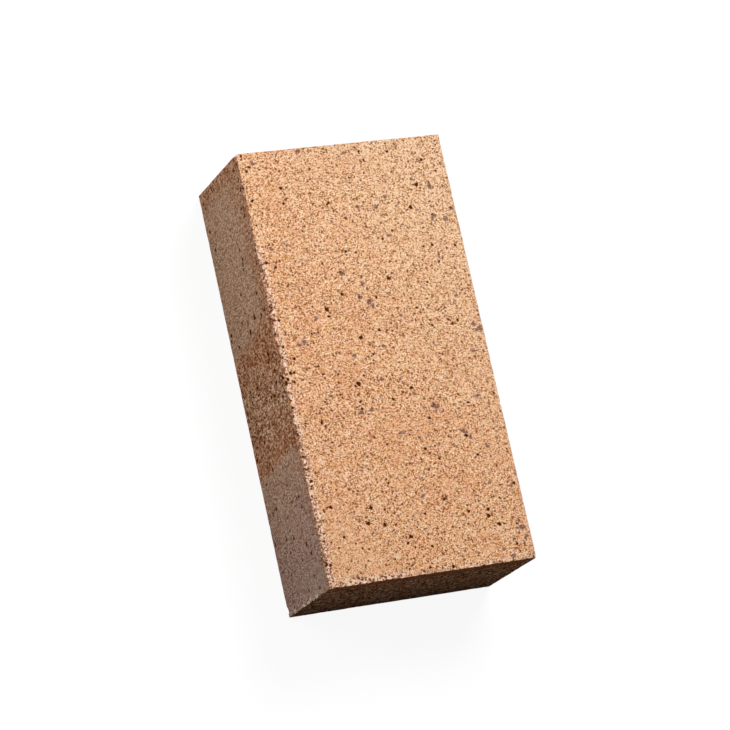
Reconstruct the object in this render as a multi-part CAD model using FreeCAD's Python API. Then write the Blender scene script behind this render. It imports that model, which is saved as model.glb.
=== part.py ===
import FreeCAD, Part
import os

# A rectangular fireclay brick, pressed in a steel mould box and fired as one piece
# Length lies along Y, width along X and thickness along Z, with the lower bed at Z = 0
# The origin is the centre of the lower bed. All sizes are in millimetres

# Driving dimensions
brick_length = 230.0
brick_width = 114.0
brick_thickness = 65.0

# The four upright arrises take their radius from the corners of the mould box
corner_radius = 1.5

# The arrises round both beds are sharper, and only rubbed down by handling
bed_arris_radius = 1.0

# An edge this thin in Z lies in a bed
flat_edge_height = 1e-4

# Where each upright arris sits across and along the brick, and where its quarter turn starts
CORNERS = (
    (1, 1, 0),
    (-1, 1, 90),
    (-1, -1, 180),
    (1, -1, 270),
)
QUARTER_TURN = 90


def corner_arc(across, along, start_angle):
    """One rounded corner of the mould box, seen from above."""
    centre = FreeCAD.Vector(
        across * (brick_width / 2 - corner_radius),
        along * (brick_length / 2 - corner_radius),
        0,
    )
    upright = FreeCAD.Vector(0, 0, 1)
    return Part.makeCircle(corner_radius, centre, upright, start_angle, start_angle + QUARTER_TURN)


def mould_outline():
    """The closed outline of the mould box: four corner arcs joined by four straight walls."""
    arcs = [corner_arc(*corner) for corner in CORNERS]
    edges = []
    for arc, next_arc in zip(arcs, arcs[1:] + arcs[:1]):
        wall_start = arc.lastVertex(True).Point
        wall_end = next_arc.firstVertex(True).Point
        edges.append(arc)
        edges.append(Part.makeLine(wall_start, wall_end))
    return Part.Wire(edges)


def pressed_block():
    """The clay as it leaves the mould box, with its bed arrises still sharp."""
    return Part.Face(mould_outline()).extrude(FreeCAD.Vector(0, 0, brick_thickness))


def bed_arrises(block):
    """Every edge that runs round the lower or the upper bed."""
    return [edge for edge in block.Edges if edge.BoundBox.ZLength < flat_edge_height]


def firebrick():
    """The fired brick, with the arrises of both beds rubbed round."""
    block = pressed_block()
    return block.makeFillet(bed_arris_radius, bed_arrises(block))


os.makedirs("parts", exist_ok=True)
firebrick().exportStep("parts/firebrick.step")
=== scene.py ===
import math
import random

import bmesh
import bpy
import numpy as np
from mathutils import Matrix, Vector, kdtree, noise


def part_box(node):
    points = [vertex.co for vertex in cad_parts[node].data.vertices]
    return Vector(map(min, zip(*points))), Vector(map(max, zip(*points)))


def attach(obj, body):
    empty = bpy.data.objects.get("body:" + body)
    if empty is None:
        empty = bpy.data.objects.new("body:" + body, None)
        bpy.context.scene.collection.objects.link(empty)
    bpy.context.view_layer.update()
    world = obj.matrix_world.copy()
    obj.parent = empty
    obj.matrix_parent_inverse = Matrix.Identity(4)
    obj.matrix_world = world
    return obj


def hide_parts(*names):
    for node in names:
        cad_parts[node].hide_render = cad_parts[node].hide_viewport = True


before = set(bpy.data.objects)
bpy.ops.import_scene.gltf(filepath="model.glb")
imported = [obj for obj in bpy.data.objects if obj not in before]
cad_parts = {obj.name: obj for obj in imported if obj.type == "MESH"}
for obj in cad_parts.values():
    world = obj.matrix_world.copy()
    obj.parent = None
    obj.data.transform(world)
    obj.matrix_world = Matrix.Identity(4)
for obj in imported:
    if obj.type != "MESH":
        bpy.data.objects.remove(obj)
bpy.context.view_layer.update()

MM = 0.001

# The pressed block: one lump of fireclay and crushed grog, squeezed flat on six sides in a mould box
# It starts as a plain block, is cut into small squares that are narrower along the arrises, and then
# every square is split again, so that the mesh is fine enough to hold pits and crumbled arrises

brick_low, brick_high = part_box("firebrick")
centre = np.array((brick_low + brick_high) / 2)
half = np.array((brick_high - brick_low) / 2)

square = 4 * MM
arris_strip = 2 * MM
splits = 3
cut_tolerance = 0.01 * MM


def cut_places(half_length):
    """Where the block is cut along one direction, with two narrow strips inside each end."""
    inner = half_length - 2 * arris_strip
    count = round(2 * inner / square)
    middle = [-inner + 2 * inner * i / count for i in range(count + 1)]
    return [arris_strip - half_length] + middle + [half_length - arris_strip]


block = bmesh.new()
bmesh.ops.create_cube(block, size=1.0)
bmesh.ops.scale(block, vec=2 * half, verts=block.verts)
for axis in range(3):
    for place in cut_places(half[axis]):
        normal = Vector([float(axis == i) for i in range(3)])
        everything = block.verts[:] + block.edges[:] + block.faces[:]
        bmesh.ops.bisect_plane(
            block, geom=everything, dist=cut_tolerance, plane_co=normal * place, plane_no=normal
        )
block_mesh = bpy.data.meshes.new("firebrick_body")
block.to_mesh(block_mesh)
block.free()

brick = bpy.data.objects.new("firebrick_body", block_mesh)
bpy.context.scene.collection.objects.link(brick)


def apply_modifiers(piece):
    """Puts the result of the piece's modifiers into its mesh."""
    evaluated = piece.evaluated_get(bpy.context.evaluated_depsgraph_get())
    finished = bpy.data.meshes.new_from_object(evaluated)
    piece.modifiers.clear()
    piece.data = finished


fine = brick.modifiers.new("fine", "SUBSURF")
fine.subdivision_type = "SIMPLE"
fine.levels = splits
fine.render_levels = splits
apply_modifiers(brick)

sharp = np.empty(3 * len(brick.data.vertices))
brick.data.vertices.foreach_get("co", sharp)
sharp = sharp.reshape(-1, 3)

# The arrises: the mould leaves them nearly sharp, and handling rubs them round and crumbles them
# They are most ragged where another brick lay against them in the kiln and broke away from the skin

arris_radius = 0.5 * MM
worn_radius = 0.8 * MM
wobble_size = 7 * MM
crumble_depth = 2.8 * MM
crumble_reach = 1.4 * MM
small_crumb = 1.5 * MM
small_crumb_share = 0.7
large_crumb = 3.4 * MM
crumbs_start = -0.1
crumbs_full = 0.6
wear_reach = 5.0 * MM
least_raggedness = 0.2
least_paleness = 0.4

# Each worn stretch of an arris: where it starts and ends, in millimetres from the middle of the brick
# to its right, far and upper faces, how ragged it is, and how pale with crumbled clay
worn_stretches = (
    ((-57, 115, 32.5), (-57, 60, 32.5), 0.8, 0.5),
    ((-57, 60, 32.5), (-57, -39, 32.5), 1.0, 1.0),
    ((-57, -39, 32.5), (-57, -115, 32.5), 0.5, 1.0),
    ((-57, -90, 32.5), (-57, -103, 32.5), 0.9, 0.9),
    ((-57, -115, 32.5), (-20, -115, 32.5), 0.45, 1.0),
    ((-20, -115, 32.5), (57, -115, 32.5), 0.3, 0.7),
    ((-57, -115, 15), (-57, -115, -2), 0.9, 1.0),
    ((-57, -115, -2), (-57, -115, -30), 0.7, 0.8),
    ((57, 20, -32.5), (57, -50, -32.5), 0.9, 0.9),
    ((57, 115, 20), (57, 115, -10), 0.7, 0.6),
    ((-30, 115, -32.5), (40, 115, -32.5), 0.8, 0.8),
)
full_wear = 4 * MM
no_wear = 9 * MM


def ripple(places, size, seed):
    """Smooth noise at every place, from about -1 to 1, with its bumps about one size apart."""
    return np.array([noise.noise(place) for place in (places / size + seed).tolist()])


def rise(values, start, end):
    """0 before start and 1 after end, with a straight slope between them."""
    return np.clip((values - start) / (end - start), 0, 1)


raggedness = np.full(len(sharp), least_raggedness)
paleness = np.full(len(sharp), least_paleness)
for start, end, ragged, pale in worn_stretches:
    start = np.array(start) * MM
    run = np.array(end) * MM - start
    share = np.clip((sharp - start) @ run / (run @ run), 0, 1)
    gap = np.linalg.norm(sharp - start - share[:, None] * run, axis=1)
    nearness = 1 - rise(gap, full_wear, no_wear)
    raggedness = np.maximum(raggedness, ragged * nearness)
    paleness = np.maximum(paleness, pale * nearness)

gaps = np.sort(half - np.abs(sharp), axis=1)
arris_distance = np.hypot(gaps[:, 0], gaps[:, 1])
arris_closeness = np.exp(-(arris_distance / crumble_reach) ** 2)
wear = paleness * np.exp(-(arris_distance / wear_reach) ** 2)

wobble = 0.5 + 0.5 * ripple(sharp, wobble_size, seed=11)
crumbs = small_crumb_share * ripple(sharp, small_crumb, seed=23) + ripple(sharp, large_crumb, seed=37)
crumbs = rise(crumbs, crumbs_start, crumbs_full)
radius = arris_radius + worn_radius * raggedness * wobble
core = np.clip(sharp, radius[:, None] - half, half - radius[:, None])
outward = sharp - core
outward /= np.linalg.norm(outward, axis=1)[:, None]
rounded = core + outward * radius[:, None]
hollow = crumble_depth * raggedness ** 2 * crumbs * arris_closeness

# The faces: pressed flat between the mould's walls and its two dies, and then a little uneven,
# because the clay shrinks and warps as it dries and is fired

swell_depth = 0.15 * MM
swell_size = 28 * MM
hollow += swell_depth * rise(ripple(sharp, swell_size, seed=5), -1, 1)

# The pits: places where a grain fell out when the brick was pressed or handled
# The large ones on the two faces that are seen best are listed one by one

# How deep and ragged a pit is, in pit radii, and how steeply its painted shade sets in at its rim
pit_depth = 0.75
pit_raggedness = 0.6
farthest_pit_rim = 1.6
pit_shade_slope = 2.5
pit_bumps = 0.6 * MM

tree = kdtree.KDTree(len(rounded))
for index, place in enumerate(rounded.tolist()):
    tree.insert(place, index)
tree.balance()
pit = np.zeros(len(rounded))


def sink_pit(place, pit_radius, shade_strength=1.0):
    """Sinks a small ragged hollow around a place on the surface, and marks painted shade inside it."""
    for spot, index, distance in tree.find_range(place, farthest_pit_rim * pit_radius):
        rim = pit_radius * (1 + pit_raggedness * noise.noise(spot / pit_bumps))
        share = max(0.0, 1 - (distance / rim) ** 2)
        hollow[index] += pit_depth * pit_radius * share
        # The pit's painted shade: how dark its inside is coloured
        pit[index] = max(pit[index], shade_strength * min(1.0, pit_shade_slope * share))


def on_upper_bed(across, along):
    """A point of the upper bed, from millimetres right of its left side and from its far end."""
    return Vector((across * MM - half[0], half[1] - along * MM, half[2]))


def on_left_stretcher(up, along):
    """A point of the left stretcher, from millimetres above the floor and from its far end."""
    return Vector((-half[0], half[1] - along * MM, up * MM - half[2]))


# Each pit of the upper bed: millimetres from its left side and from its far end, and the pit's radius
bed_pits = (
    (20, 29, 0.8), (89, 38, 1.2), (48, 58, 0.9), (31, 87, 1.3), (20, 99, 0.8), (61, 102, 0.8),
    (86, 102, 0.7), (50, 117, 0.7), (39, 128, 1.4), (37, 129, 0.9), (43, 124, 0.7), (19, 135, 0.7),
    (38, 141, 0.8), (96, 145, 0.9), (91, 162, 1.2), (67, 166, 0.9), (43, 181, 0.7), (31, 192, 1.2),
    (38, 194, 0.7), (59, 199, 0.8), (83, 201, 0.8), (71, 193, 0.9), (98, 210, 1.0), (68, 228, 1.0),
    (105, 221, 0.8), (3, 39, 0.7), (101, 13, 0.9), (109, 61, 0.8), (101, 101, 0.8), (80, 92, 0.8),
    (59, 84, 0.8), (4, 118, 1.0), (6, 118, 0.9), (5, 123, 0.8), (6, 128, 0.7), (4, 90, 0.8),
    (6, 8, 0.8), (2, 121, 0.9), (4, 10, 0.8), (3, 104, 0.8), (1, 136, 0.8), (3, 218, 0.8),
)
for across, along, pit_radius in bed_pits:
    sink_pit(on_upper_bed(across, along), pit_radius * MM)

# Each pit of the left stretcher: millimetres above the floor and from its far end, and the pit's radius
stretcher_pits = (
    (8, 33, 1.3), (43, 50, 1.3), (42, 52, 1.0), (41, 55, 1.1), (42, 65, 1.1), (42, 81, 1.8),
    (32, 86, 1.8), (52, 83, 1.4), (52, 71, 1.1), (31, 81, 1.1), (30, 75, 1.0), (30, 65, 1.1),
    (12, 88, 1.4), (4, 79, 1.5), (3, 82, 1.1), (5, 22, 1.2), (20, 3, 1.4), (50, 103, 1.7),
    (44, 102, 1.1), (25, 114, 1.4), (53, 119, 1.4), (62, 119, 1.6), (46, 124, 1.3), (7, 125, 1.1),
    (34, 147, 0.9), (22, 157, 1.1), (15, 176, 1.1), (9, 177, 1.3), (9, 161, 1.0), (3, 192, 1.3),
    (49, 178, 1.0), (51, 184, 1.1), (37, 169, 0.9), (31, 195, 1.0), (46, 202, 1.3), (50, 208, 1.3),
    (22, 201, 0.9), (14, 199, 0.9), (47, 219, 1.0), (51, 226, 1.1), (36, 224, 1.1), (17, 211, 0.9),
    (39, 178, 0.9), (46, 178, 0.8), (20, 193, 1.0), (35, 31, 0.9), (13, 100, 1.0), (58, 128, 1.0),
    (36, 208, 0.9), (57, 6, 1.2), (61, 13, 1.1), (61, 18, 1.2), (59, 27, 1.0), (60, 45, 1.0),
)
for up, along, pit_radius in stretcher_pits:
    sink_pit(on_left_stretcher(up, along), pit_radius * MM)

# Each nick of the upper left arris: millimetres from its far end, the nick's radius and how dark its
# painted shade is
upper_left_nicks = (
    (34, 1.0, 0.8), (83, 1.8, 1.0), (97, 1.2, 0.8), (123, 1.6, 1.0), (140, 1.0, 0.8),
    (217, 1.6, 0.9), (220, 1.3, 0.9),
)
nick_inset = 0.2
for along, nick_radius, shade_strength in upper_left_nicks:
    sink_pit(on_upper_bed(nick_inset, along), nick_radius * MM, shade_strength)

chance = random.Random(1140230)

# The other pits are strewn by chance: how many in each square millimetre of a face, and their sizes
smallest_pit = 0.5 * MM
largest_pit = 1.2 * MM
usual_extra = 0.2 * MM
strewn_pits = {"bed": 0.005, "header": 0.006, "skin": 0.002, "kiln mark": 0.012, "bared strip": 0.03}
bared_strip = 9 * MM

# The kiln mark runs up and down each stretcher, as wide as the brick that lay across it in the kiln
kiln_mark_far = 24 * MM
kiln_mark_near = -42 * MM


def strew_pits(low, high, density):
    """Sinks pits at random over a flat stretch of one face, given by two of its corners."""
    spans = sorted(abs(b - a) for a, b in zip(low, high))
    for _ in range(round(density * spans[1] * spans[2] / MM ** 2)):
        place = Vector([chance.uniform(a, b) for a, b in zip(low, high)])
        sink_pit(place, min(largest_pit, smallest_pit + chance.expovariate(1 / usual_extra)))


width, length, height = half
for side in (-1, 1):
    strew_pits((-width, -length, side * height), (width, length, side * height), strewn_pits["bed"])
    strew_pits((-width, side * length, -height), (width, side * length, height), strewn_pits["header"])
    strew_pits((side * width, -length, -height), (side * width, length, height), strewn_pits["skin"])
    mark_low = (side * width, kiln_mark_near, -height)
    strew_pits(mark_low, (side * width, kiln_mark_far, height), strewn_pits["kiln mark"])
    strip_low = (side * width, kiln_mark_far, height - bared_strip)
    strew_pits(strip_low, (side * width, length, height), strewn_pits["bared strip"])

# The grog: crushed fired clay in the mix, whose larger grains show as lilac-grey, olive and cream spots
# They lie nearly flush, broke up as they were pressed, and are commonest towards the right side

grog_rise = 0.1 * MM
least_hollow = 0.2 * grog_rise
lilac = (0.25, 0.085, 0.066)
olive = (0.18, 0.075, 0.022)
cream = (1.00, 0.72, 0.45)

grog = np.zeros((len(rounded), 4))


def press_grain(place, grain_radius, tint):
    """Colours a soft-edged spot of the surface as a bit of grog."""
    for spot, index, distance in tree.find_range(place, grain_radius):
        share = 1 - distance / grain_radius
        hollow[index] = max(least_hollow, hollow[index] - grog_rise * share)
        if share > grog[index, 3]:
            grog[index] = (*tint, share)


# How a grain broke up, with sizes and distances in grain radii
main_bit = 1.6
small_bits = 4
smallest_bit = 0.6
largest_bit = 1.0
scatter_along = 0.9
scatter_sideways = 0.3


def broken_grain(place, grain_radius, tint):
    """A grain that broke into a large bit and some small ones, strung out in one direction."""
    press_grain(place, main_bit * grain_radius, tint)
    turn = chance.uniform(0, math.pi)
    for _ in range(small_bits):
        shift = chance.gauss(0, scatter_along) * grain_radius
        sideways = chance.gauss(0, scatter_sideways) * grain_radius
        step_across = math.cos(turn) * shift - math.sin(turn) * sideways
        step_along = math.sin(turn) * shift + math.cos(turn) * sideways
        bit_radius = chance.uniform(smallest_bit, largest_bit) * grain_radius
        press_grain(place + Vector((step_across, step_along, 0)), bit_radius, tint)


# Each large grain of the upper bed: millimetres from its left side and from its far end, its radius
# and its colour
large_grains = (
    (60, 35, 1.2, lilac), (70, 36, 1.3, olive), (71, 34, 0.9, cream), (92, 40, 0.9, lilac),
    (76, 31, 1.1, olive), (93, 23, 1.0, lilac), (101, 44, 1.4, lilac), (107, 46, 1.5, lilac),
    (111, 41, 1.2, lilac), (102, 28, 1.4, olive), (104, 30, 1.1, cream), (8, 52, 1.2, olive),
    (17, 51, 1.1, olive), (18, 50, 0.9, cream), (73, 52, 1.1, lilac), (43, 69, 1.5, olive),
    (53, 76, 1.2, lilac), (50, 83, 1.1, lilac), (54, 86, 1.5, lilac), (56, 88, 1.1, lilac),
    (24, 91, 1.1, lilac), (15, 103, 1.5, lilac), (12, 104, 1.3, lilac), (70, 95, 1.0, olive),
    (109, 104, 1.6, lilac), (112, 107, 1.8, lilac), (103, 88, 1.2, lilac), (40, 113, 1.1, olive),
    (57, 110, 1.0, olive), (52, 127, 1.1, lilac), (62, 128, 1.0, lilac), (68, 137, 1.0, lilac),
    (37, 143, 1.4, lilac), (43, 142, 1.2, olive), (77, 144, 1.5, lilac), (79, 145, 1.3, lilac),
    (105, 142, 1.3, cream), (102, 142, 1.2, lilac), (2, 142, 1.4, cream), (56, 156, 1.2, lilac),
    (93, 163, 1.1, lilac), (89, 159, 1.0, olive), (84, 167, 1.1, olive), (101, 169, 1.0, lilac),
    (80, 187, 1.1, cream), (60, 190, 1.2, lilac), (72, 193, 1.0, lilac), (109, 191, 1.2, lilac),
    (97, 212, 1.2, cream), (110, 213, 1.6, lilac), (111, 218, 1.3, lilac), (102, 227, 1.3, lilac),
    (39, 219, 1.1, cream), (7, 224, 0.9, cream), (16, 226, 1.2, lilac), (8, 6, 1.2, lilac),
    (34, 2, 1.3, lilac), (59, 5, 1.0, lilac), (100, 14, 1.0, olive), (88, 3, 1.0, lilac),
    (10, 227, 1.1, cream), (13, 228, 0.9, cream),
)
for across, along, grain_radius, tint in large_grains:
    broken_grain(on_upper_bed(across, along), grain_radius * MM, tint)

# The smaller grains are strewn by chance, and the lower bed has as many in all as the upper one
strewn_grains = 90
smallest_grain = 0.5
largest_grain = 0.9
for side, count in ((1, strewn_grains), (-1, strewn_grains + len(large_grains))):
    for _ in range(count):
        across = width * (2 * max(chance.random(), chance.random()) - 1)
        place = Vector((across, chance.uniform(-length, length), side * height))
        grain_radius = chance.uniform(smallest_grain, largest_grain) * MM
        broken_grain(place, grain_radius, chance.choice((lilac, olive, cream)))

moved = rounded - outward * hollow[:, None] + centre
brick.data.vertices.foreach_set("co", moved.ravel())
for name, values in (("wear", wear), ("pit", pit)):
    brick.data.attributes.new(name, "FLOAT", "POINT").data.foreach_set("value", values)
brick.data.attributes.new("outward", "FLOAT_VECTOR", "POINT").data.foreach_set("vector", outward.ravel())
brick.data.attributes.new("grog", "FLOAT_COLOR", "POINT").data.foreach_set("color", grog.ravel())

# The mesh is then thinned where it is plain, and keeps all its points at pits, grog and ragged arrises
most_triangles = 196000
plain_raggedness = 0.15
plain = (pit == 0) & (grog[:, 3] == 0) & (raggedness ** 2 * arris_closeness < plain_raggedness)
brick.vertex_groups.new(name="plain").add(np.flatnonzero(plain).tolist(), 1.0, "REPLACE")
thin = brick.modifiers.new("thin", "DECIMATE")
thin.vertex_group = "plain"
thin.ratio = most_triangles / (2 * len(brick.data.polygons))
apply_modifiers(brick)
for polygon in brick.data.polygons:
    polygon.use_smooth = True

# The fired clay's colour: sand-orange grains on the beds, which lay covered in the kiln, a grey-brown
# flashed skin on the sides that the flames reached, and bare red-brown clay in the kiln mark

clay = bpy.data.materials.new("fired_clay")
clay.use_nodes = True


class Value:
    """A socket among a material's nodes. Arithmetic with it adds Math nodes."""

    tree = clay.node_tree

    def __init__(self, socket):
        self.socket = socket

    @staticmethod
    def node(kind, settings, inputs, output=0):
        """Adds one node: its settings come first, then the values or links of its sockets."""
        node = Value.tree.nodes.new(kind)
        for name, setting in settings.items():
            if name == "stops":
                ramp = node.color_ramp
                for position, colour in setting[:-2]:
                    ramp.elements.new(position)
                for element, (position, colour) in zip(ramp.elements, setting):
                    element.position = position
                    element.color = (*colour, 1)
            else:
                setattr(node, name, setting)
        for name, value in inputs.items():
            if isinstance(value, Value):
                Value.tree.links.new(value.socket, node.inputs[name])
            else:
                node.inputs[name].default_value = value
        return Value(node.outputs[output])

    @staticmethod
    def maths(operation, first, second=0.0):
        """Adds one Math node."""
        return Value.node("ShaderNodeMath", {"operation": operation}, {0: first, 1: second})

    def twin(self, output):
        """Another output of the node that this value comes from."""
        return Value(self.socket.node.outputs[output])

    def feeds(self, socket):
        """Links this value to a socket of a node that is there already."""
        Value.tree.links.new(self.socket, socket)

    def __add__(self, other):
        return Value.maths("ADD", self, other)

    def __sub__(self, other):
        return Value.maths("SUBTRACT", self, other)

    def __rsub__(self, other):
        return Value.maths("SUBTRACT", other, self)

    def __mul__(self, other):
        return Value.maths("MULTIPLY", self, other)

    def __abs__(self):
        return Value.maths("ABSOLUTE", self)

    __radd__ = __add__
    __rmul__ = __mul__


def soft_step(value, start, end):
    """0 before start and 1 after end, with a soft slope between them."""
    settings = {"interpolation_type": "SMOOTHSTEP"}
    return Value.node("ShaderNodeMapRange", settings, {"Value": value, "From Min": start, "From Max": end})


def mix(share, first, second):
    """The first colour where share is 0 and the second where it is 1."""
    return Value.node("ShaderNodeMix", {"data_type": "RGBA"}, {0: share, 6: first, 7: second}, 2)


def palette(value, *stops):
    """The colours of the grains, from the darkest to the palest."""
    return Value.node("ShaderNodeValToRGB", {"stops": stops}, {0: value})


def parts_of(vector):
    """The three numbers of a vector or a colour."""
    first = Value.node("ShaderNodeSeparateXYZ", {}, {0: vector})
    return first, first.twin(1), first.twin(2)


def attribute(name, output):
    """What the mesh says at each point: a number, a vector or a colour."""
    return Value.node("ShaderNodeAttribute", {"attribute_name": name}, {}, output)


def cloud(size, detail=2.0):
    """Soft noise from about 0.2 to 0.8, in bumps about one size apart."""
    return Value.node("ShaderNodeTexNoise", {}, {"Vector": surface, "Scale": 1 / size, "Detail": detail})


def cells(places, size):
    """Ragged cells of about one size: how far each point is from its cell's middle, in cell sizes."""
    return Value.node("ShaderNodeTexVoronoi", {}, {"Vector": places, "Scale": 1 / size})


def grain_lots(places, size):
    """Two chance numbers from 0 to 1 for each grain of about one size."""
    return parts_of(cells(places, size).twin(1))[:2]


def pinholes(places, spacing, hole_radius, share):
    """1 in small ragged holes, up to hole_radius, in a share of all cells, and 0 outside them."""
    distance = cells(places, spacing)
    lot = parts_of(distance.twin(1))[0]
    reach = hole_radius / spacing * soft_step(lot, 1 - share, 1.0) * (0.1 + 1.8 * fine_noise)
    return soft_step(reach - distance, 0.0, hole_rim / spacing)


# Every place is shaken by a little, so that the grains and the holes have ragged outlines
shake_size = 0.8 * MM
shake_reach = 0.45 * MM
surface = Value.node("ShaderNodeTexCoord", {}, {}, 3)
ripples = Value.node("ShaderNodeTexNoise", {}, {"Vector": surface, "Scale": 1 / shake_size}, 1)
shaken = Value.node("ShaderNodeVectorMath", {"operation": "SCALE"}, {0: ripples, "Scale": shake_reach})
ragged_surface = Value.node("ShaderNodeVectorMath", {"operation": "ADD"}, {0: surface, 1: shaken})

# Pushing the brick up out of its mould box drew the grains of its four sides out a little
drawn_out = (1.0, 1.0, 0.55)
drawn_surface = Value.node(
    "ShaderNodeVectorMath", {"operation": "MULTIPLY"}, {0: ragged_surface, 1: drawn_out}
)

across, along, up = parts_of(surface)
facing_x, facing_y, facing_z = parts_of(attribute("outward", 1))
worn = attribute("wear", 2)
pit_shade = attribute("pit", 2)
grog_colour = attribute("grog", 0)
grog_share = grog_colour.twin(3)

small_grain = 0.34 * MM
middle_grain = 0.55 * MM
drawn_middle_grain = 0.65 * MM
drawn_large_grain = 1.0 * MM
middle_lot = grain_lots(ragged_surface, middle_grain)[0]
small_lot, other_lot = grain_lots(ragged_surface, small_grain)
drawn_middle_lot = grain_lots(drawn_surface, drawn_middle_grain)[0]
drawn_large_lot = grain_lots(drawn_surface, drawn_large_grain)[0]
grain = 0.5 * middle_lot + 0.5 * small_lot
skin_grain = 0.6 * drawn_middle_lot + 0.4 * small_lot
bare_grain = 0.5 * drawn_large_lot + 0.5 * drawn_middle_lot
fine_noise = cloud(0.45 * MM, detail=3.0)
rough_noise = cloud(1.1 * MM, detail=4.0)
clumps = cloud(3 * MM)
streaks = cloud(5 * MM)
patches = cloud(16 * MM)

# The beds' grains but the darkest are tinted in turn: salmon grain by grain, red in patches, pink in
# streaks and bleached towards the far right. At the rubbed near left corner all of them are evened out
salmon_clay = (0.91, 0.44, 0.28, 1)
salmon_share = 0.5
reddish_clay = (0.86, 0.42, 0.22, 1)
reddish_share = 0.33
pinkish_clay = (0.90, 0.49, 0.36, 1)
pinkish_share = 0.25
bleached_clay = (0.88, 0.66, 0.43, 1)
bleached_share = 0.6
rubbed_clay = (0.845, 0.48, 0.26, 1)
rubbed_share = 0.25
sand = palette(
    grain,
    (0.15, (0.13, 0.020, 0.001)),
    (0.31, (0.40, 0.105, 0.009)),
    (0.42, (0.71, 0.31, 0.10)),
    (0.55, (0.87, 0.50, 0.25)),
    (0.72, (1.00, 0.71, 0.43)),
    (0.86, (1.00, 0.90, 0.70)),
)
not_dark = soft_step(grain, 0.3, 0.5)
sand = mix(salmon_share * not_dark * soft_step(other_lot, 0.5, 0.9), sand, salmon_clay)
sand = mix(reddish_share * not_dark * soft_step(patches, 0.48, 0.62), sand, reddish_clay)
sand = mix(pinkish_share * not_dark * soft_step(streaks, 0.45, 0.6), sand, pinkish_clay)
bleached = not_dark * soft_step(across + 0.6 * along, -30 * MM, 120 * MM)
sand = mix(bleached_share * bleached, sand, bleached_clay)
rubbed_corner = soft_step(across + along, -110 * MM, -140 * MM)
sand = mix(rubbed_share * rubbed_corner, sand, rubbed_clay)

# The flashed skin is browner towards the far end, greyer towards the near end, and smoky at the top there
smoked_clay = (0.43, 0.32, 0.225, 1)
smoked_share = 0.3
far_skin = palette(
    skin_grain,
    (0.13, (0.15, 0.062, 0.026)),
    (0.32, (0.40, 0.21, 0.118)),
    (0.50, (0.53, 0.305, 0.182)),
    (0.68, (0.64, 0.40, 0.26)),
    (0.87, (0.90, 0.67, 0.50)),
)
near_skin = palette(
    skin_grain,
    (0.13, (0.10, 0.043, 0.027)),
    (0.32, (0.30, 0.163, 0.12)),
    (0.50, (0.415, 0.247, 0.196)),
    (0.68, (0.52, 0.33, 0.27)),
    (0.87, (0.78, 0.58, 0.50)),
)
skin = mix(soft_step(along + 40 * MM * (patches - 0.5), -10 * MM, -120 * MM), far_skin, near_skin)
smoked = soft_step(along + 30 * MM * (streaks - 0.5), -85 * MM, -105 * MM) * soft_step(up, 10 * MM, 40 * MM)
skin = mix(smoked_share * smoked, skin, smoked_clay)

# The bare clay of the kiln mark is redder towards the mark's two edges
redder_clay = (0.42, 0.12, 0.045, 1)
least_redder = 0.04
more_redder = 0.26
bare = palette(
    bare_grain,
    (0.17, (0.03, 0.007, 0.001)),
    (0.34, (0.28, 0.105, 0.046)),
    (0.52, (0.54, 0.25, 0.12)),
    (0.70, (0.75, 0.44, 0.26)),
    (0.88, (1.00, 0.78, 0.59)),
)
mark_middle = (kiln_mark_near + kiln_mark_far) / 2
redness = soft_step(abs(along - mark_middle) + 16 * MM * (patches - 0.5), 5 * MM, 23 * MM)
bare = mix(least_redder + more_redder * redness, bare, redder_clay)

# The clay of the headers: a redder strip along the top of the near one, and the far one evener
strip_clay = (0.58, 0.155, 0.033, 1)
strip_share = 0.75
far_end_clay = (0.50, 0.24, 0.13, 1)
far_end_share = 0.55
end_clay = palette(
    bare_grain,
    (0.16, (0.03, 0.006, 0.0015)),
    (0.36, (0.30, 0.088, 0.022)),
    (0.55, (0.68, 0.26, 0.108)),
    (0.73, (1.00, 0.56, 0.32)),
    (0.90, (1.00, 0.90, 0.70)),
)
reddened = soft_step(up + 10 * MM * (clumps - 0.5), 54 * MM, 62 * MM) * soft_step(along, 0.0, -100 * MM)
end_clay = mix(strip_share * reddened, end_clay, strip_clay)
end_clay = mix(far_end_share * soft_step(along, -100 * MM, 0.0), end_clay, far_end_clay)

# Where the skin is missing: in the kiln mark, in a ragged strip along the upper arris that widens
# towards the far end, and at the far end
ragged_along = along + 6 * MM * (streaks - 0.5)
near_lead = 4 * MM * soft_step(up, 10 * MM, 65 * MM)
far_lead = 8 * MM * soft_step(up, 15 * MM, 62 * MM)
in_mark = soft_step(ragged_along - near_lead, kiln_mark_near - 2 * MM, kiln_mark_near + 1 * MM)
in_mark = in_mark * (1 - soft_step(ragged_along - far_lead, kiln_mark_far - 5 * MM, kiln_mark_far + 4 * MM))
bared_depth = 4 * MM + 8 * MM * soft_step(along, kiln_mark_near, kiln_mark_far)
bared_depth = bared_depth + 7 * MM * soft_step(along, 60 * MM, 110 * MM)
bared = 0.6 * soft_step(up + bared_depth + 10 * MM * (streaks - 0.5), 62 * MM, 69 * MM)
bared_end = 0.8 * soft_step(ragged_along, 101 * MM, 110 * MM)
skin_share = (1 - in_mark) * (1 - bared) * (1 - bared_end)

# The pinholes: fine pores, closer together on the beds and in the bared strips, which shape the bump and
# are darkened with painted shade
hole_rim = 0.15 * MM
on_bed = soft_step(abs(facing_z) + 0.25 * (small_lot - 0.5), 0.55, 0.8)
on_end = soft_step(abs(facing_y), 0.6, 0.8)
bed_holes = pinholes(ragged_surface, spacing=1.75 * MM, hole_radius=0.72 * MM, share=0.52)
side_holes = pinholes(drawn_surface, spacing=2.4 * MM, hole_radius=0.8 * MM, share=0.5)
strip_holes = pinholes(drawn_surface, spacing=1.5 * MM, hole_radius=0.75 * MM, share=0.45)
side_holes = side_holes + 1.5 * bared * strip_holes
pinhole_relief_and_shade = mix(on_bed, side_holes, bed_holes)

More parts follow.
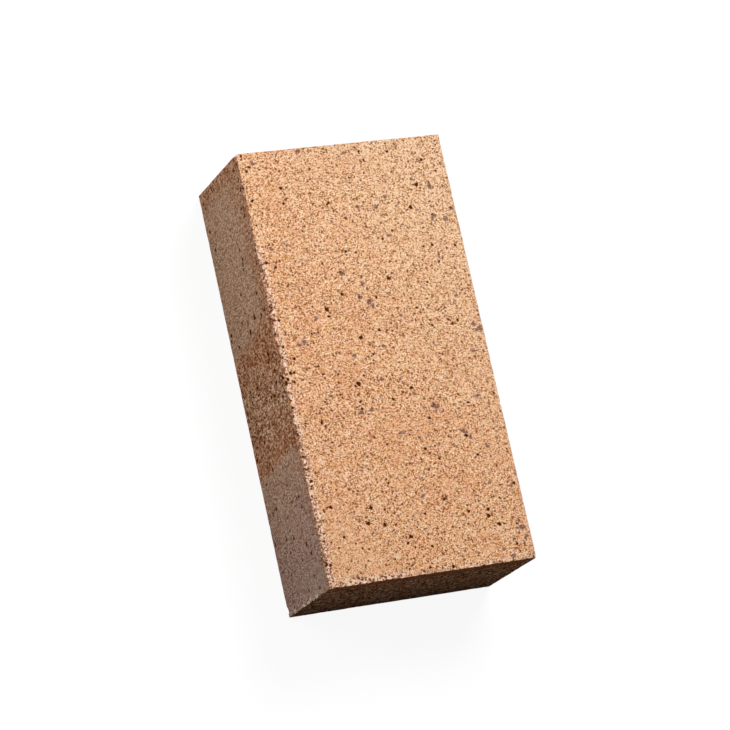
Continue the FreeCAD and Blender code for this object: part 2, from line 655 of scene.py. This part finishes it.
# Crumbled clay is pale where it faces up or lies along an upright arris, and bites of bare clay reach
# over the worn arrises into the beds
dusty_crumb = (0.84, 0.70, 0.56, 1)
dusty_share = 0.85
crumb = palette(
    bare_grain,
    (0.26, (0.10, 0.025, 0.006)),
    (0.40, (0.50, 0.22, 0.12)),
    (0.52, (0.92, 0.56, 0.38)),
    (0.70, (1.00, 0.77, 0.60)),
)
corner_run = half[0] + half[1] - 4 * MM
near_upright = soft_step(abs(across) + abs(along), corner_run, corner_run + 2 * MM)
near_upright = near_upright * soft_step(abs(facing_x), 0.3, 0.8) * soft_step(up, 58 * MM, 48 * MM)
near_upright = near_upright * soft_step(worn, 0.45, 0.75)
crumb = mix(dusty_share * near_upright, crumb, dusty_crumb)
crumbly_side = soft_step(facing_z, 0.3, 0.9) + 0.65 * near_upright
crumbled = worn * crumbly_side + 1.5 * (rough_noise - 0.5) + 0.9 * (clumps - 0.5)
crumbled = crumbled + 2.4 * near_upright * (drawn_large_lot - 0.6)
bitten = worn + 2.0 * (cloud(1.6 * MM, detail=4.0) - 0.5)
biting_side = on_bed * soft_step(abs(across), half[0] - 6 * MM, half[0] - 4 * MM)
biting_side = biting_side * (0.4 + 0.6 * soft_step(along, -60 * MM, -30 * MM))

# The faces and their wear are laid over each other, and painted shade darkens the sides a little towards
# the floor, the headers more
shade = (0.05, 0.02, 0.01, 1)
crumb_share = 0.95
bite_share = 0.85
colour = mix(skin_share, bare, skin)
colour = mix(on_end, colour, end_clay)
# Painted shade: darker near the floor, where shade falls
in_shade = soft_step(up, 45 * MM, 0.0) * (0.1 + 0.32 * on_end)
colour = mix(in_shade, colour, shade)
colour = mix(on_bed, colour, sand)
colour = mix(crumb_share * soft_step(crumbled, 0.5, 0.72), colour, crumb)
colour = mix(bite_share * biting_side * soft_step(bitten, 0.92, 1.06), colour, bare)

# The grains of grog are speckled with dark and pale clay, and have a thin pale rim
dark_grog = (0.04, 0.01, 0.006, 1)
pale_grog = (0.90, 0.56, 0.42, 1)
pale_grog_share = 0.35
grog_rim = (0.86, 0.55, 0.39, 1)
most_grog = 0.8
grog_paleness = parts_of(grog_colour)[0]
darkened = soft_step(middle_lot, 0.35, 0.65) * (1.25 - grog_paleness)
grog_core = mix(darkened, grog_colour, dark_grog)
grog_core = mix(pale_grog_share * soft_step(middle_lot, 0.3, 0.1), grog_core, pale_grog)
grog_edge = grog_share + 1.7 * (rough_noise - 0.5)
grog_tone = mix(soft_step(grog_edge, 0.36, 0.5), grog_rim, grog_core)
colour = mix(most_grog * soft_step(grog_edge, 0.12, 0.4), colour, grog_tone)

# Painted shade: the pinholes and the pits are darkened inside, where shade falls
hole_shade_brown = (0.14, 0.032, 0.003, 1)
hole_shade_darkness = 0.9
pit_shade_brown = (0.10, 0.025, 0.003, 1)
# Painted shade inside the pinholes
colour = mix(hole_shade_darkness * pinhole_relief_and_shade, colour, hole_shade_brown)
# Painted shade inside the pits and the nicks
pit_shade_share = soft_step(pit_shade + 0.9 * (rough_noise - 0.5), 0.25, 0.65)
colour = mix(pit_shade_share, colour, pit_shade_brown)

grain_bump_strength = 0.6
grain_bump_height = 0.25 * MM
relief = 0.5 * grain + 0.5 * cloud(0.8 * MM, detail=4.0) - 0.6 * pinhole_relief_and_shade
bump = Value.node(
    "ShaderNodeBump", {}, {"Strength": grain_bump_strength, "Distance": grain_bump_height, "Height": relief}
)

shader = clay.node_tree.nodes["Principled BSDF"]
shader.inputs["Roughness"].default_value = 0.92
shader.inputs["Specular IOR Level"].default_value = 0.0
colour.feeds(shader.inputs["Base Color"])
bump.feeds(shader.inputs["Normal"])

brick.data.materials.append(clay)
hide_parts("firebrick")
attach(brick, "root")

# The floor: a plain pale sheet. The camera sees it white apart from the brick's shadow, and what it
# throws back at the brick is weak, so that the faces away from the lamps stay in shade

floor_side = 12.0
floor_grey = 0.15
floor_glow = 0.92
floor_shadow_share = 0.11

floor_shape = bmesh.new()
bmesh.ops.create_grid(floor_shape, x_segments=1, y_segments=1, size=floor_side / 2)
floor_mesh = bpy.data.meshes.new("floor")
floor_shape.to_mesh(floor_mesh)
floor_shape.free()
floor = bpy.data.objects.new("floor", floor_mesh)
bpy.context.scene.collection.objects.link(floor)

paper = bpy.data.materials.new("floor")
paper.use_nodes = True
Value.tree = paper.node_tree
Value.tree.nodes.remove(Value.tree.nodes["Principled BSDF"])
camera_ray = Value.node("ShaderNodeLightPath", {}, {}, "Is Camera Ray")
seen = Value.maths("MAXIMUM", camera_ray, camera_ray.twin("Is Glossy Ray"))
seen = Value.maths("MAXIMUM", seen, camera_ray.twin("Is Transmission Ray"))
glow = Value.node("ShaderNodeEmission", {}, {"Strength": floor_glow})
shadow_sheet = Value.node("ShaderNodeBsdfDiffuse", {}, {"Color": (*[floor_shadow_share] * 3, 1)})
white_sheet = Value.node("ShaderNodeAddShader", {}, {0: glow, 1: shadow_sheet})
grey_sheet = Value.node("ShaderNodeBsdfDiffuse", {}, {"Color": (*[floor_grey] * 3, 1)})
sheet = Value.node("ShaderNodeMixShader", {}, {0: seen, 1: grey_sheet, 2: white_sheet})
sheet.feeds(Value.tree.nodes["Material Output"].inputs["Surface"])
floor.data.materials.append(paper)

# The light: a weak even sky, a large soft lamp above the far right, and a fill lamp at the left
# They stand in for a studio's soft boxes, and places and sizes are in metres

sky_strength = 0.1
world = bpy.data.worlds.new("studio")
bpy.context.scene.world = world
world.use_nodes = True
sky = world.node_tree.nodes["Background"]
sky.inputs["Color"].default_value = (1, 1, 1, 1)
sky.inputs["Strength"].default_value = sky_strength


def soft_lamp(name, place, size, watts):
    """A square lamp that faces the brick."""
    lamp = bpy.data.lights.new(name, "AREA")
    lamp.size = size
    lamp.energy = watts
    holder = bpy.data.objects.new(name, lamp)
    holder.location = place
    holder.rotation_euler = (-Vector(place)).to_track_quat("-Z", "Y").to_euler()
    bpy.context.scene.collection.objects.link(holder)


soft_lamp("key", place=(0.42, 0.62, 1.18), size=0.56, watts=16.7)
soft_lamp("fill", place=(-1.1, 0.45, 0.55), size=0.6, watts=8)

# The camera: above the near left corner, turned about its own line of sight as in the photograph
# Its place, aim, turn and focal length are the fit to the brick's seven corners that are in view

camera_place = Vector((-662.4, -384.7, 1597.3)) * MM
camera_aim = Vector((1.4, 4.4, 32.5)) * MM
camera_roll = math.radians(49.66)
film_width = 36.0
focal_length = 166.0
farthest_seen = 100
lens = bpy.data.cameras.new("camera")
lens.sensor_width = film_width
lens.lens = focal_length
lens.clip_end = farthest_seen
camera = bpy.data.objects.new("camera", lens)
bpy.context.scene.collection.objects.link(camera)
turn = (camera_aim - camera_place).to_track_quat("-Z", "Y").to_matrix().to_4x4()
camera.matrix_world = Matrix.Translation(camera_place) @ turn @ Matrix.Rotation(camera_roll, 4, "Z")
bpy.context.scene.camera = camera
bpy.context.scene.view_settings.view_transform = "Standard"
